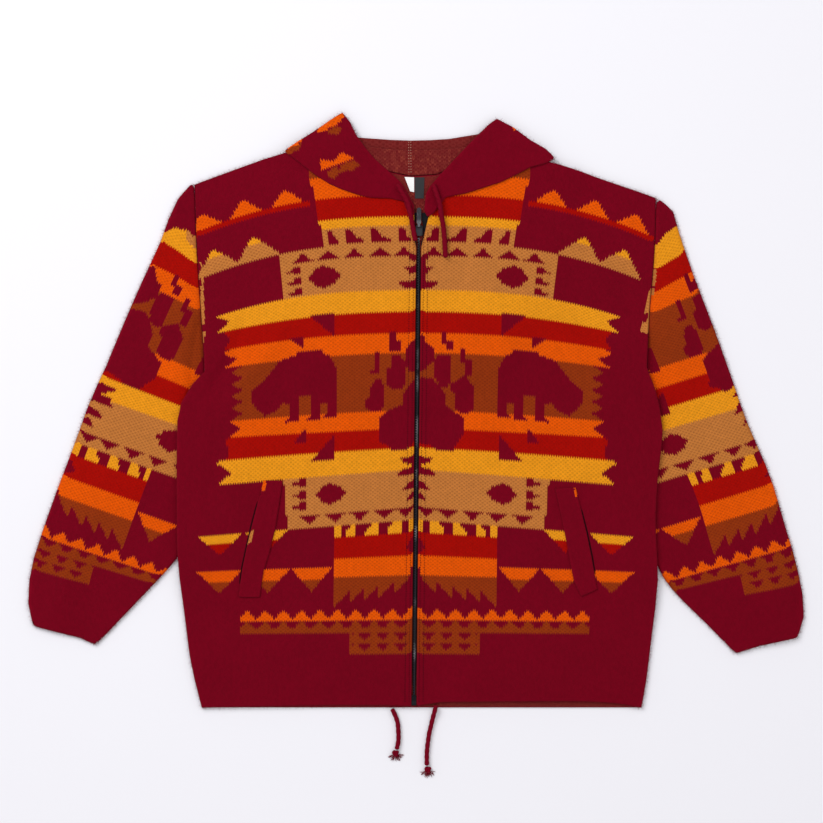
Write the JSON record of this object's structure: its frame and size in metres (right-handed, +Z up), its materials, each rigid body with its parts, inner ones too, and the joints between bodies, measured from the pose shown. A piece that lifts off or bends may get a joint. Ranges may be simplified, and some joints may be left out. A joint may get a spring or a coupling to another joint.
{
  "type": "hooded zip-front wool jacket, laid flat",
  "caption": "Hooded full-zip knitted wool jacket lying flat on its back, front up, with bear and paw figures in stepped colour bands, slanting pockets and drawcords.",
  "frame": {"origin": "centre of the jacket's box without its drawcords, at the level of the surface it lies on", "axes": "+X to the right as the front is seen, +Y from the hem to the hood, +Z up from the surface, out of the front"},
  "size_m": [0.9759, 0.8303, 0.0215],
  "materials": {
    "wool": "double-bed wool knit in burgundy with bands of yellow, orange, red, brown and tan, slightly hairy",
    "wool_reverse": "inner side of the knit, flecked reddish brown",
    "cord": "twisted wool cord",
    "zip_tape": "woven black tape",
    "zip_teeth": "dark plated teeth",
    "zip_metal": "dark nickel, worn bright at the edges",
    "label": "bare woven satin label, charcoal",
    "tag": "bare white satin tag"
  },
  "bodies": {
    "jacket": {"back": "wool", "front_left": "wool", "front_right": "wool", "sleeve_left": "wool", "sleeve_right": "wool", "hood_back": "wool", "hood_inside": "wool_reverse", "hood_left": "wool", "hood_right": "wool", "pocket_welt_left": "wool", "pocket_welt_right": "wool", "zip_tape_left": "zip_tape", "zip_tape_right": "zip_tape", "zip_chain": "zip_teeth", "zip_box": "zip_metal", "zip_slider": "zip_metal", "neck_label": "label", "size_tag": "tag", "hood_cord_left": "cord", "hood_cord_right": "cord", "hem_cord_left": "cord", "hem_cord_right": "cord", "hem_knot_left": "cord", "hem_knot_right": "cord"},
    "pull_tab": {"zip_pull": "zip_metal"}
  },
  "joints": [
    {"name": "pull_hinge", "type": "hinge", "parent": "jacket", "child": "pull_tab", "pos_m": [0.00304, 0.2306, 0.0146], "axis": [1, 0, 0], "range_deg": [0, 170]}
  ]
}
